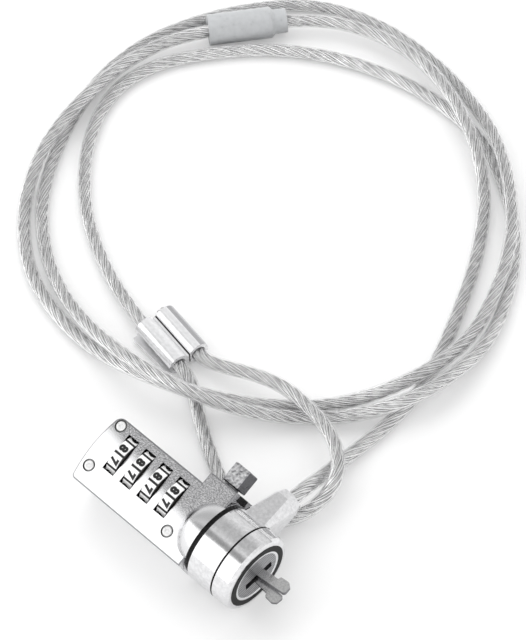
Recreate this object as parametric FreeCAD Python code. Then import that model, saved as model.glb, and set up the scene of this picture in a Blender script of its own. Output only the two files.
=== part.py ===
import FreeCAD, Part
import math
import os

# Laptop cable lock: a four dial combination head with a swivel collar, and its looped steel cable, lying on a table.
# Millimetres. +X points out of the barrel's nose, +Z is up and z = 0 is the table. The origin is on the table, under
# the middle of the lock head. The head lies rolled about its barrel, on the barrel and on the edge of its dial block.
# Head pieces are drawn in the head's own frame: x = 0 is the front face of the barrel, y runs towards the lever and
# z out of the dial plate, with the barrel's axis as y = z = 0.

# Where the head lies
FRONT_FACE_X = 29.9
AXIS_Y = -6.3
HEAD_ROLL_DEG = 23.0

# Clearances
RUNNING_FIT = 0.08
SEAT_FIT = 0.05
FREE_GAP = 0.3

# Barrel and nose
BARREL_RADIUS = 14.0
COLLAR_WALL = 2.2
SPIGOT_WALL = 2.1
FRONT_RING_LENGTH = 7.05
FRONT_RING_CHAMFER = 1.2
COLLAR_LENGTH = 10.45
COLLAR_SIDE_GAP = 0.3
RING_EDGE_CHAMFER = 0.2
GROOVE_WIDTH = 1.2
WASHER_SINK = 0.9
DOME_LENGTH = 9.1
SPIGOT_SETBACK = 2.4
FRONT_RING_SETBACK = 0.15
DISC_THICKNESS = 2.7
DISC_SETBACK = 0.25
DISC_RIM_WIDTH = 0.8
DISC_RIM_HEIGHT = 0.2
DISC_SLOT_NEAR = -6.0
DISC_SLOT_FAR = 5.8

# Dial block
BODY_LENGTH = 70.6
END_BULGE = 1.5
BODY_NEAR = 13.4
BODY_FAR = 12.05
BODY_TOP = 9.5
BODY_BOTTOM = 9.72
NEAR_CORNER_RADIUS = 1.5
FAR_CORNER_RADIUS = 3.0
SMALL_CORNER_RADIUS = 0.8
EDGE_RADIUS = 0.6
SHOULDER_START = 31.4
SHOULDER_FAR = 16.5
TOP_WALL = 1.2
SIDE_WALL = 1.05
BOTTOM_PLATE_THICKNESS = 1.4

# Dials and the shaft through them
DIAL_COUNT = 4
REAR_TO_FIRST_DIAL = 10.7
LAST_DIAL_X = -36.4
DIAL_Y = 2.12
DIAL_Z = 3.0
DIAL_RADIUS = 8.4
DIAL_WIDTH = 4.1
DIGITS = 10
DIAL_GROOVE_WIDTH = 0.5
DIAL_GROOVE_DEPTH = 0.35
WINDOW_WIDTH = 4.9
WINDOW_LENGTH = 13.85
SLEEVE_RADIUS = 4.9
SLEEVE_WIDTH = 4.6
SLEEVE_KEY_WIDTH = 1.2
SLEEVE_KEY_HEIGHT = 0.7
SPINDLE_RADIUS = 1.6
FIN_RADIUS = 3.2
FIN_WIDTH = 1.1
FIN_SHARE = 0.41
GATE_CLEARANCE = 0.15
BEARING_DEPTH = 4.1
DETENT_THICKNESS = 0.3

# Lever and slide
LEVER_TRAVEL = 3.4
TAB_REAR_X = -29.2
TAB_LENGTH = 6.6
TAB_INNER_Y = 17.1
TAB_OUTER_Y = 24.4
TAB_HALF_HEIGHT = 4.2
TAB_EDGE_RADIUS = 0.6
STEM_LENGTH = 4.8
STEM_HALF_HEIGHT = 1.5
BLOCK_NEAR = -3.6
BLOCK_HALF_HEIGHT = 5.2
BLOCK_ROOM_LENGTH = 5.1
BLOCK_SOCKET_DEPTH = 2.2
TAB_PIN_RADIUS = 0.6
GUIDE_TOP = 6.0
GUIDE_BOTTOM = -2.5
GUIDE_THICKNESS = 2.4

# Hooks and what drives them
HOOK_PIVOT_X = -7.5
HOOK_PAIR_THICKNESS = 2.88
HOOK_PARTING_Z = -0.3
HOOK_HALF_GAP = 0.08
HOOK_HALF_WIDTH = 1.5
HOOK_REACH = 10.82
HOOK_BARB_START = 6.4
HOOK_BARB_LENGTH = 3.2
HOOK_BARB_HEIGHT = 1.1
HOOK_BOSS_RADIUS = 2.2
HOOK_OPEN_DEG = 5.3
HOOK_PLANE_TURN_DEG = -20.0
HOOK_SHIFT_Y = 0.85
HOOK_SHIFT_Z = -1.05
HOOK_TAIL_LENGTH = 8.8
HOOK_TAIL_OFFSET = 2.5
HOOK_TAIL_HALF_WIDTH = 1.2
TAIL_PIN_RADIUS = 0.8
CAM_CLEARANCE = 0.12
PIVOT_PIN_RADIUS = 1.0
PIVOT_PIN_HALF_LENGTH = 6.0
CHEEK_THICKNESS = 1.3
CHEEK_HALF_WIDTH = 4.2
FLANGE_THICKNESS = 1.15
CARRIER_SLOT_HALF = 4.0
SPRING_TO_BORE = 1.85
SPRING_WIRE_RADIUS = 0.45
SPRING_TURNS = 5

# Rivets: two at the dial block's rear end and one beside the slide
REAR_RIVET_SETBACK = 4.0
REAR_RIVET_SIDES = (9.45, -7.0)
FRONT_RIVET_PLACE = (-30.2, -7.25)
RIVET_SHANK_RADIUS = 1.1
RIVET_HEAD_RADIUS = 1.65
RIVET_HEAD_HEIGHT = 0.55
RIVET_RECESS_RADIUS = 2.2
RIVET_RECESS_DEPTH = 0.45
RIVET_DIMPLE_RADIUS = 0.7
RIVET_DIMPLE_DEPTH = 0.25

# Lug on the collar, and the cable's end in it
LUG_X = -11.8
LUG_NOSE_Y = 28.5
LUG_NOSE_SHARE = 0.8
LUG_ROOT_HALF_HEIGHT = 7.6
LUG_ROOT_CUT = 0.3
LUG_END_Y = 25.6
LUG_END_HALF = 4.5
LUG_REAR_CUT = 1.3
LUG_FRONT_CUT = 3.6
STOP_RADIUS = 3.6
STOP_START_Y = 18.4
STOP_LENGTH = 4.2

# Cable and the fittings on it
CABLE_RADIUS = 2.6
FERRULE_RADIUS = 4.1
FERRULE_SPACING = 8.15
FERRULE_LENGTH = 20.5
FERRULE_START = (-72.1, 43.0)
FERRULE_TURN_DEG = -9.8
FERRULE_LIP = 1.4
FERRULE_SLOT_FOOT = 2.2
FERRULE_SLOT_TOP = 5.2
SLEEVE_OUTER_RADIUS = 5.9
SLEEVE_TUBE_LENGTH = 29.8
SLEEVE_NECK_LENGTH = 6.0
SLEEVE_NECK_RADIUS = 4.6
SLEEVE_BORE_GAP = 0.2
SLEEVE_START = (-133.7, 178.75)
SLEEVE_TURN_DEG = 232.85

# The cable's route, from inside the lug, three times round and through the ferrule's near barrel, round behind the
# head and back into the ferrule's far barrel, where it ends
CABLE_ROUTE = [
    (18.1, 12.3, 14.0), (18.1, 27.4, 14.0), (15.8, 42.0, 5.7), (15.4, 55.2, 2.6), (16.4, 70.2, 2.6),
    (15.4, 86.2, 2.6), (10.9, 102.7, 2.6), (1.7, 124.4, 2.6), (-8.7, 145.8, 2.6), (-23.2, 166.7, 2.8),
    (-37.8, 178.7, 8.5), (-57.5, 190.2, 8.5), (-81.7, 198.4, 7.2), (-106.6, 197.3, 5.6), (-128.2, 186.0, 5.9),
    (-157.2, 147.7, 5.9), (-163.1, 124.2, 6.2), (-160.5, 102.0, 8.7), (-157.5, 84.3, 8.7), (-153.0, 68.1, 6.4),
    (-141.9, 49.4, 2.6), (-121.4, 32.8, 2.6), (-100.7, 25.8, 2.6), (-79.0, 23.9, 2.8), (-54.6, 26.1, 9.0),
    (-35.7, 33.1, 9.15), (-21.4, 44.9, 4.6), (-8.5, 57.0, 2.6), (1.5, 69.1, 3.7), (10.6, 81.3, 8.9),
    (14.9, 98.2, 8.6), (13.8, 117.3, 5.0), (8.1, 136.4, 6.5), (-1.7, 156.1, 8.6), (-17.6, 173.5, 8.6),
    (-38.5, 189.5, 7.2), (-64.0, 200.5, 2.6), (-85.5, 204.0, 2.6), (-109.6, 203.5, 2.6), (-133.8, 194.6, 2.6),
    (-150.2, 176.0, 2.6), (-161.7, 155.0, 2.6), (-167.7, 132.9, 2.6), (-166.3, 108.8, 2.6), (-156.3, 82.0, 2.6),
    (-140.5, 57.0, 2.6), (-118.4, 39.2, 2.6), (-91.8, 28.8, 5.6), (-60.8, 24.4, 14.3), (-36.2, 28.9, 14.3),
    (-19.1, 39.9, 7.8), (-5.2, 52.9, 4.0), (7.1, 65.5, 4.7), (16.9, 78.6, 8.9), (21.2, 95.1, 8.7),
    (19.7, 118.8, 3.4), (9.6, 142.4, 2.6), (-5.1, 162.7, 2.6), (-22.5, 176.4, 2.6), (-41.3, 186.7, 2.6),
    (-60.8, 189.8, 2.6), (-83.5, 188.6, 2.6), (-107.8, 180.9, 2.6), (-128.5, 167.9, 2.6), (-144.4, 150.5, 2.6),
    (-156.3, 132.0, 2.6), (-158.9, 110.8, 2.6), (-148.4, 88.2, 2.6), (-129.1, 67.7, 2.6), (-111.1, 56.5, 2.6),
    (-94.6, 49.3, 3.0), (-77.6, 44.0, 4.1), (-44.6, 38.3, 4.1), (-31.6, 28.7, 2.6), (-16.6, 20.1, 2.6),
    (-2.1, 12.9, 2.6), (7.1, 12.6, 2.6), (15.0, 17.0, 2.6), (19.9, 24.7, 3.3), (22.2, 31.4, 6.0),
    (22.2, 38.0, 9.3), (19.5, 43.0, 11.4), (15.0, 47.2, 12.4), (8.0, 50.6, 12.5), (-1.6, 53.5, 11.2),
    (-13.8, 55.3, 9.5), (-25.7, 53.9, 8.0), (-45.5, 46.7, 4.1), (-72.3, 51.3, 4.1),
]
ARC_SHARE = 0.45

# Places and sizes that follow from those above
SPIGOT_RADIUS = BARREL_RADIUS - COLLAR_WALL
BORE_RADIUS = SPIGOT_RADIUS - SPIGOT_WALL
RUBBER_INNER_RADIUS = BORE_RADIUS - 0.02
BLOCK_FAR = math.sqrt((BORE_RADIUS - FREE_GAP - 0.1) ** 2 - BLOCK_HALF_HEIGHT ** 2)
SPRING_RADIUS = BORE_RADIUS - SPRING_TO_BORE - SPRING_WIRE_RADIUS
GROOVE_FRONT_X = -FRONT_RING_LENGTH - 2 * COLLAR_SIDE_GAP - COLLAR_LENGTH
GROOVE_REAR_X = GROOVE_FRONT_X - GROOVE_WIDTH
BODY_FRONT_X = GROOVE_REAR_X - 0.25
FIRST_DIAL_X = -BODY_LENGTH + REAR_TO_FIRST_DIAL
DIAL_PITCH = (LAST_DIAL_X - FIRST_DIAL_X) / (DIAL_COUNT - 1)
DIAL_PLACES = [FIRST_DIAL_X + DIAL_PITCH * number for number in range(DIAL_COUNT)]
RIVET_PLACES = [(-BODY_LENGTH + REAR_RIVET_SETBACK, side) for side in REAR_RIVET_SIDES] + [FRONT_RIVET_PLACE]
FIN_LENGTH = FIN_SHARE * (DIAL_PITCH - SLEEVE_WIDTH)
CAVITY_FLOOR_Z = -BODY_BOTTOM + BOTTOM_PLATE_THICKNESS
FIN_REST_GAP = 0.25
CAVITY_REAR_X = DIAL_PLACES[0] - SLEEVE_WIDTH / 2 - FIN_REST_GAP - FIN_LENGTH - FREE_GAP
CAVITY_FRONT_X = DIAL_PLACES[-1] + SLEEVE_WIDTH / 2 + 1.1
BLOCK_FRONT_X = TAB_REAR_X + TAB_LENGTH
SLIDE_REAR_X = TAB_REAR_X - 1.4
BORE_REAR_X = SLIDE_REAR_X + BLOCK_ROOM_LENGTH
FLANGE_FRONT_X = BLOCK_FRONT_X + FLANGE_THICKNESS
HOOK_OUTER_Z = HOOK_PAIR_THICKNESS / 2
CHEEK_INNER_Z = HOOK_OUTER_Z + 0.4
CARRIER_FRONT_X = -DISC_SETBACK - DISC_THICKNESS - SEAT_FIT
CHEEK_FRONT_X = HOOK_PIVOT_X - HOOK_TAIL_LENGTH + TAIL_PIN_RADIUS + CAM_CLEARANCE + 0.9
CARRIER_REAR_X = CHEEK_FRONT_X + LEVER_TRAVEL + 0.4


def box(x0, x1, y0, y1, z0, z1):
    return Part.makeBox(x1 - x0, y1 - y0, z1 - z0, FreeCAD.Vector(x0, y0, z0))


def rod_x(radius, x0, x1, y=0.0, z=0.0):
    return Part.makeCylinder(radius, x1 - x0, FreeCAD.Vector(x0, y, z), FreeCAD.Vector(1, 0, 0))


def rod_y(radius, y0, y1, x, z=0.0):
    return Part.makeCylinder(radius, y1 - y0, FreeCAD.Vector(x, y0, z), FreeCAD.Vector(0, 1, 0))


def rod_z(radius, z0, z1, x, y):
    return Part.makeCylinder(radius, z1 - z0, FreeCAD.Vector(x, y, z0), FreeCAD.Vector(0, 0, 1))


def tube_x(outer, inner, x0, x1, y=0.0, z=0.0):
    return rod_x(outer, x0, x1, y, z).cut(rod_x(inner, x0 - 1, x1 + 1, y, z))


def prism(points, z0, z1):
    corners = [FreeCAD.Vector(x, y, z0) for x, y in points]
    face = Part.Face(Part.makePolygon(corners + corners[:1]))
    return face.extrude(FreeCAD.Vector(0, 0, z1 - z0))


def turned_profile(points):
    """A solid of revolution about the barrel's axis, from (x, radius) points."""
    corners = [FreeCAD.Vector(x, radius, 0) for x, radius in points]
    face = Part.Face(Part.makePolygon(corners + corners[:1]))
    return face.revolve(FreeCAD.Vector(0, 0, 0), FreeCAD.Vector(1, 0, 0), 360)


def fillet_where(shape, radius, wanted):
    edges = [edge for edge in shape.Edges if wanted(edge)]
    return shape.makeFillet(radius, edges)


def upright_edge_at(x, y):
    def wanted(edge):
        ends = [vertex.Point for vertex in edge.Vertexes]
        return len(ends) == 2 and all(abs(end.x - x) < 0.01 and abs(end.y - y) < 0.01 for end in ends)
    return wanted


def lies_in_plane_z(z):
    def wanted(edge):
        return abs(edge.BoundBox.ZMin - z) < 0.001 and abs(edge.BoundBox.ZMax - z) < 0.001
    return wanted


def write(name, shape):
    shape.exportStep("parts/" + name + ".step")


def place_on_axis(shape):
    """Puts a shape drawn about the barrel's axis on the table, without the head's roll."""
    placed = shape.copy()
    placed.translate(FreeCAD.Vector(FRONT_FACE_X, AXIS_Y, BARREL_RADIUS))
    return placed


def place_in_head(shape):
    placed = shape.copy()
    placed.rotate(FreeCAD.Vector(0, 0, 0), FreeCAD.Vector(1, 0, 0), HEAD_ROLL_DEG)
    return place_on_axis(placed)


def place_with_hooks(shape):
    """From the hooks' own frame, where they lie flat on z = 0 about y = 0, to the head's."""
    placed = shape.copy()
    placed.translate(FreeCAD.Vector(0, HOOK_SHIFT_Y, HOOK_SHIFT_Z))
    placed.rotate(FreeCAD.Vector(0, 0, 0), FreeCAD.Vector(1, 0, 0), HOOK_PLANE_TURN_DEG)
    return placed


# Housing: the zinc casting with the dial windows, the shoulder for the lever, the dome and the barrel's spigot

def body_block():
    front, rear = BODY_FRONT_X, -BODY_LENGTH
    corner_x = rear + END_BULGE
    near, far = -BODY_NEAR, BODY_FAR
    outline = [
        (corner_x, far), (-SHOULDER_START, far), (-SHOULDER_START, SHOULDER_FAR),
        (front, SHOULDER_FAR), (front, near), (corner_x, near),
    ]
    corners = [FreeCAD.Vector(x, y, -BODY_BOTTOM) for x, y in outline]
    edges = [Part.LineSegment(a, b).toShape() for a, b in zip(corners, corners[1:])]
    end_middle = FreeCAD.Vector(rear, (near + far) / 2, -BODY_BOTTOM)
    edges.append(Part.Arc(corners[-1], end_middle, corners[0]).toShape())
    block = Part.Face(Part.Wire(edges)).extrude(FreeCAD.Vector(0, 0, BODY_BOTTOM + BODY_TOP))
    block = fillet_where(block, FAR_CORNER_RADIUS, upright_edge_at(corner_x, far))
    block = fillet_where(block, NEAR_CORNER_RADIUS, upright_edge_at(corner_x, near))
    block = fillet_where(block, SMALL_CORNER_RADIUS, upright_edge_at(-SHOULDER_START, SHOULDER_FAR))
    block = fillet_where(block, EDGE_RADIUS, lies_in_plane_z(BODY_TOP))
    return fillet_where(block, EDGE_RADIUS, lies_in_plane_z(-BODY_BOTTOM))


def dome(grown=0.0):
    """The rounded rise from the dial plate to the barrel's full radius."""
    rise = BARREL_RADIUS - BODY_TOP
    radius = (DOME_LENGTH ** 2 + rise ** 2) / (2 * rise)
    centre_r = BARREL_RADIUS - radius
    foot_r = BODY_TOP - 2.0
    foot_x = GROOVE_REAR_X - math.sqrt(radius ** 2 - (foot_r - centre_r) ** 2)
    half = 0.5 * math.acos((foot_r - centre_r) / radius)
    radius += grown
    foot_r += grown
    foot_x -= grown
    front = FreeCAD.Vector(GROOVE_REAR_X, centre_r + radius, 0)
    middle = FreeCAD.Vector(GROOVE_REAR_X - radius * math.sin(half), centre_r + radius * math.cos(half), 0)
    foot = FreeCAD.Vector(foot_x, foot_r, 0)
    axis_foot = FreeCAD.Vector(foot_x, 0, 0)
    axis_front = FreeCAD.Vector(GROOVE_REAR_X, 0, 0)
    edges = [
        Part.Arc(front, middle, foot).toShape(),
        Part.LineSegment(foot, axis_foot).toShape(),
        Part.LineSegment(axis_foot, axis_front).toShape(),
        Part.LineSegment(axis_front, front).toShape(),
    ]
    face = Part.Face(Part.Wire(edges))
    return face.revolve(FreeCAD.Vector(0, 0, 0), FreeCAD.Vector(1, 0, 0), 360)


def dial_cavity():
    near = -BODY_NEAR + 2 * SIDE_WALL
    far = BODY_FAR - SIDE_WALL
    roof = BODY_TOP - TOP_WALL
    channel_roof = DIAL_Z - SLEEVE_RADIUS
    cavity = box(CAVITY_REAR_X, CAVITY_FRONT_X, near, far, CAVITY_FLOOR_Z - 1, channel_roof)
    cavity = cavity.fuse(rod_x(SLEEVE_RADIUS + 0.5, CAVITY_REAR_X, CAVITY_FRONT_X, DIAL_Y, DIAL_Z))
    for x in DIAL_PLACES:
        half = DIAL_WIDTH / 2 + 0.35
        cavity = cavity.fuse(box(x - half, x + half, near, far, CAVITY_FLOOR_Z - 1, roof))
        half = WINDOW_WIDTH / 2
        window = box(x - half, x + half, DIAL_Y - WINDOW_LENGTH / 2, DIAL_Y + WINDOW_LENGTH / 2, 0, BODY_TOP + 1)
        cavity = cavity.fuse(window)
    rear = CAVITY_REAR_X - BEARING_DEPTH
    return cavity.fuse(rod_x(SPINDLE_RADIUS + RUNNING_FIT, rear, SLIDE_REAR_X + 1, DIAL_Y, DIAL_Z))


def slide_cavity():
    room = box(SLIDE_REAR_X, BORE_REAR_X + 0.2, BLOCK_NEAR - 1.2, BLOCK_FAR + FREE_GAP,
               CAVITY_FLOOR_Z - 1, BLOCK_HALF_HEIGHT + 0.4)
    half = STEM_HALF_HEIGHT + FREE_GAP
    stem_front = TAB_REAR_X + 0.3 + STEM_LENGTH + LEVER_TRAVEL
    arm_way = box(TAB_REAR_X - 0.5, stem_front + FREE_GAP, BLOCK_FAR - 1, SHOULDER_FAR + 1, -half, half)
    bore = rod_x(BORE_RADIUS, BORE_REAR_X, 1)
    guide_seat = box(TAB_REAR_X - 0.8, BODY_FRONT_X + 1, SHOULDER_FAR - GUIDE_THICKNESS, SHOULDER_FAR + 1,
                     GUIDE_BOTTOM, GUIDE_TOP)
    return room.fuse([arm_way, bore, guide_seat])


def rivet_holes():
    holes = []
    for x, y in RIVET_PLACES:
        holes.append(rod_z(RIVET_SHANK_RADIUS + SEAT_FIT, -BODY_BOTTOM - 1, BODY_TOP + 1, x, y))
        holes.append(rod_z(RIVET_RECESS_RADIUS, BODY_TOP - RIVET_RECESS_DEPTH, BODY_TOP + 1, x, y))
        holes.append(rod_z(RIVET_RECESS_RADIUS, -BODY_BOTTOM - 1, -BODY_BOTTOM + RIVET_RECESS_DEPTH, x, y))
    return holes


def housing():
    upper = box(-BODY_LENGTH - 1, 0, -BODY_NEAR - 1, SHOULDER_FAR + 1, CAVITY_FLOOR_Z, BODY_TOP + 1)
    shape = body_block().common(upper)
    shape = shape.fuse([dome(), rod_x(SPIGOT_RADIUS, GROOVE_REAR_X - 1, -SPIGOT_SETBACK)])
    return shape.cut([dial_cavity(), slide_cavity()] + rivet_holes()).removeSplitter()


def bottom_plate():
    lower = box(-BODY_LENGTH - 1, 0, -BODY_NEAR - 1, SHOULDER_FAR + 1, -BODY_BOTTOM - 1, CAVITY_FLOOR_Z - SEAT_FIT)
    return body_block().common(lower).cut([dome(0.1)] + rivet_holes())


def rivets():
    solids = []
    for x, y in RIVET_PLACES:
        top = BODY_TOP - RIVET_RECESS_DEPTH + SEAT_FIT
        foot = -BODY_BOTTOM + RIVET_RECESS_DEPTH - SEAT_FIT
        shank = rod_z(RIVET_SHANK_RADIUS, foot, top, x, y)
        head = rod_z(RIVET_HEAD_RADIUS, top, top + RIVET_HEAD_HEIGHT, x, y)
        head = head.makeFillet(0.3, [head.Edges[0]])
        rim = top + RIVET_HEAD_HEIGHT
        dimple = rod_z(RIVET_DIMPLE_RADIUS, rim - RIVET_DIMPLE_DEPTH, rim + 1, x, y)
        tail = rod_z(RIVET_HEAD_RADIUS, foot - RIVET_RECESS_DEPTH + SEAT_FIT, foot, x, y)
        solids.append(shank.fuse([head, tail]).removeSplitter().cut(dimple))
    return Part.makeCompound(solids)


# Dials, the coded sleeves that turn with them, and the click spring under them

def around_spindle(shape, angle_deg):
    turned = shape.copy()
    turned.rotate(FreeCAD.Vector(0, DIAL_Y, DIAL_Z), FreeCAD.Vector(1, 0, 0), angle_deg)
    return turned


def dial(x):
    half = DIAL_WIDTH / 2
    ring = rod_x(DIAL_RADIUS, x - half, x + half, DIAL_Y, DIAL_Z)
    ring = ring.makeChamfer(0.25, [edge for edge in ring.Edges if edge.Curve.TypeId == "Part::GeomCircle"])
    cuts = [rod_x(SLEEVE_RADIUS + SEAT_FIT, x - half - 1, x + half + 1, DIAL_Y, DIAL_Z)]
    key_top = DIAL_Z + SLEEVE_RADIUS + SLEEVE_KEY_HEIGHT + SEAT_FIT
    key_half = SLEEVE_KEY_WIDTH / 2 + SEAT_FIT
    cuts.append(box(x - half - 1, x + half + 1, DIAL_Y - key_half, DIAL_Y + key_half, DIAL_Z, key_top))
    top = DIAL_Z + DIAL_RADIUS
    for number in range(DIGITS):
        groove = box(x - half - 1, x + half + 1, DIAL_Y - DIAL_GROOVE_WIDTH / 2, DIAL_Y + DIAL_GROOVE_WIDTH / 2,
                     top - DIAL_GROOVE_DEPTH, top + 1)
        cuts.append(around_spindle(groove, 360 / DIGITS * number))
    return ring.cut(cuts)


def code_sleeve(x):
    half = SLEEVE_WIDTH / 2
    sleeve = rod_x(SLEEVE_RADIUS, x - half, x + half, DIAL_Y, DIAL_Z)
    key = box(x - DIAL_WIDTH / 2, x + DIAL_WIDTH / 2, DIAL_Y - SLEEVE_KEY_WIDTH / 2, DIAL_Y + SLEEVE_KEY_WIDTH / 2,
              DIAL_Z, DIAL_Z + SLEEVE_RADIUS + SLEEVE_KEY_HEIGHT)
    bore = rod_x(SPINDLE_RADIUS + RUNNING_FIT, x - half - 1, x + half + 1, DIAL_Y, DIAL_Z)
    reach = FIN_RADIUS + GATE_CLEARANCE
    gate_half = FIN_WIDTH / 2 + GATE_CLEARANCE
    gates = box(x - half - 1, x + half + 1, DIAL_Y - reach, DIAL_Y + reach, DIAL_Z - gate_half, DIAL_Z + gate_half)
    return sleeve.fuse(key).cut([bore, gates])


def detent_spring():
    """A strip of spring steel on the floor plate, with one finger reaching up into a groove of each dial."""
    floor = CAVITY_FLOOR_Z + SEAT_FIT
    strip_near, strip_far = DIAL_Y + 3.2, BODY_FAR - SIDE_WALL - FREE_GAP
    strip = box(CAVITY_REAR_X + FREE_GAP, CAVITY_FRONT_X - FREE_GAP, strip_near, strip_far,
                floor, floor + DETENT_THICKNESS)
    fingers = []
    tip_z = DIAL_Z - DIAL_RADIUS - RUNNING_FIT
    for x in DIAL_PLACES:
        side = [
            (strip_near + 0.2, floor), (strip_near + 0.2, floor + DETENT_THICKNESS),
            (DIAL_Y + 0.25, tip_z), (DIAL_Y - 0.1, tip_z), (DIAL_Y - 0.1, tip_z - DETENT_THICKNESS),
        ]
        corners = [FreeCAD.Vector(x - 1.0, y, z) for y, z in side]
        face = Part.Face(Part.makePolygon(corners + corners[:1]))
        fingers.append(face.extrude(FreeCAD.Vector(2.0, 0, 0)))
    return strip.fuse(fingers).removeSplitter()


# Spindle, slide block, lever tab and the fork that works the hooks: they all move together

def spindle():
    rear = CAVITY_REAR_X - BEARING_DEPTH + 0.2
    shaft = rod_x(SPINDLE_RADIUS, rear, FLANGE_FRONT_X - 0.4, DIAL_Y, DIAL_Z)
    fins = []
    for x in DIAL_PLACES:
        front = x - SLEEVE_WIDTH / 2 - FIN_REST_GAP
        fins.append(box(front - FIN_LENGTH, front, DIAL_Y - FIN_RADIUS, DIAL_Y,
                        DIAL_Z - FIN_WIDTH / 2, DIAL_Z + FIN_WIDTH / 2))
    return shaft.fuse(fins).removeSplitter()


def stem_span():
    rear = TAB_REAR_X + 0.3
    return rear, rear + STEM_LENGTH


def slide_block():
    block = box(TAB_REAR_X, BLOCK_FRONT_X, BLOCK_NEAR, BLOCK_FAR, -BLOCK_HALF_HEIGHT, BLOCK_HALF_HEIGHT)
    rear, front = stem_span()
    half = STEM_HALF_HEIGHT + SEAT_FIT
    socket = box(rear - SEAT_FIT, front + SEAT_FIT, BLOCK_FAR - BLOCK_SOCKET_DEPTH, BLOCK_FAR + 1, -half, half)
    shaft_hole = rod_x(SPINDLE_RADIUS + SEAT_FIT, TAB_REAR_X - 1, BLOCK_FRONT_X + 1, DIAL_Y, DIAL_Z)
    return block.cut([socket, shaft_hole, tab_pin(SEAT_FIT)])


def tab_pin(grown=0.0):
    rear, front = stem_span()
    y = BLOCK_FAR - BLOCK_SOCKET_DEPTH / 2
    return rod_z(TAB_PIN_RADIUS + grown, -BLOCK_HALF_HEIGHT, BLOCK_HALF_HEIGHT, (rear + front) / 2, y)


def lever_tab():
    head = box(TAB_REAR_X, BLOCK_FRONT_X, TAB_INNER_Y, TAB_OUTER_Y, -TAB_HALF_HEIGHT, TAB_HALF_HEIGHT)
    head = head.makeFillet(TAB_EDGE_RADIUS, head.Edges)
    rear, front = stem_span()
    stem = box(rear, front, BLOCK_FAR - BLOCK_SOCKET_DEPTH + SEAT_FIT, TAB_INNER_Y + 1,
               -STEM_HALF_HEIGHT, STEM_HALF_HEIGHT)
    return head.fuse(stem).cut(tab_pin(SEAT_FIT)).removeSplitter()


def slide_guide():
    """The black plastic piece in the shoulder that the lever's stem slides in."""
    inner, outer = SHOULDER_FAR - GUIDE_THICKNESS + SEAT_FIT, SHOULDER_FAR - 0.15
    rear = TAB_REAR_X - 0.8 + SEAT_FIT
    guide = box(rear, BODY_FRONT_X, inner, outer, GUIDE_BOTTOM + SEAT_FIT, GUIDE_TOP - SEAT_FIT)
    stem_rear, stem_front = stem_span()
    half = STEM_HALF_HEIGHT + FREE_GAP
    return guide.cut(box(stem_rear - FREE_GAP, stem_front + LEVER_TRAVEL + FREE_GAP, inner - 1, outer + 1, -half, half))


def slide_keeper():
    """A plastic pad on the bottom plate that keeps the slide block up in its way."""
    return box(SLIDE_REAR_X + SEAT_FIT, BORE_REAR_X - SEAT_FIT, BLOCK_NEAR - 1.2 + SEAT_FIT, BLOCK_FAR,
               CAVITY_FLOOR_Z, -BLOCK_HALF_HEIGHT - FREE_GAP)


def hook_tail_place(side, share):
    """Where a hook's tail pin stands in the fork's own frame, from lever out of use (0) to lever pressed (1)."""
    length = math.hypot(HOOK_TAIL_LENGTH, HOOK_TAIL_OFFSET)
    angle = math.atan2(HOOK_TAIL_OFFSET, HOOK_TAIL_LENGTH) - math.radians(HOOK_OPEN_DEG) * share
    x = HOOK_PIVOT_X - length * math.cos(angle) - LEVER_TRAVEL * share
    return x, side * length * math.sin(angle)


def cam_fork():
    """A flange with two cheeks that reach over and under the hooks. A slanted slot in each drives one tail pin."""
    shape = rod_x(BORE_RADIUS - FREE_GAP, BLOCK_FRONT_X, FLANGE_FRONT_X)
    radius = TAIL_PIN_RADIUS + CAM_CLEARANCE
    for side in (1, -1):
        low, high = sorted((side * CHEEK_INNER_Z, side * (CHEEK_INNER_Z + CHEEK_THICKNESS)))
        cheek = box(FLANGE_FRONT_X - 0.5, CHEEK_FRONT_X, -CHEEK_HALF_WIDTH, CHEEK_HALF_WIDTH, low, high)
        (x0, y0), (x1, y1) = hook_tail_place(-side, 0), hook_tail_place(-side, 1)
        run = math.hypot(x1 - x0, y1 - y0)
        across = ((y0 - y1) / run * radius, (x1 - x0) / run * radius)
        slot = prism([(x0 + across[0], y0 + across[1]), (x1 + across[0], y1 + across[1]),
                      (x1 - across[0], y1 - across[1]), (x0 - across[0], y0 - across[1])], low - 1, high + 1)
        slot_ends = [rod_z(radius, low - 1, high + 1, x, y) for x, y in ((x0, y0), (x1, y1))]
        shape = shape.fuse(place_with_hooks(cheek.cut([slot] + slot_ends)))
    shaft_hole = rod_x(SPINDLE_RADIUS + SEAT_FIT, BLOCK_FRONT_X - 1, FLANGE_FRONT_X + 1, DIAL_Y, DIAL_Z)
    return shape.cut(shaft_hole).removeSplitter()


def return_spring():
    start = FLANGE_FRONT_X + SPRING_WIRE_RADIUS + 0.02
    length = CARRIER_REAR_X - FLANGE_FRONT_X - 2 * SPRING_WIRE_RADIUS - 0.04
    helix = Part.makeHelix(length / SPRING_TURNS, length, SPRING_RADIUS)
    wire_end = Part.Circle(FreeCAD.Vector(SPRING_RADIUS, 0, 0), FreeCAD.Vector(0, 1, 0), SPRING_WIRE_RADIUS)
    profile = Part.Wire([wire_end.toShape()])
    coil = Part.Wire(helix).makePipeShell([profile], True, True)
    coil.rotate(FreeCAD.Vector(0, 0, 0), FreeCAD.Vector(0, 1, 0), 90)
    coil.translate(FreeCAD.Vector(start, 0, 0))
    return coil


# Hooks, the carrier that holds their pivot, and the barrel's front

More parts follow.
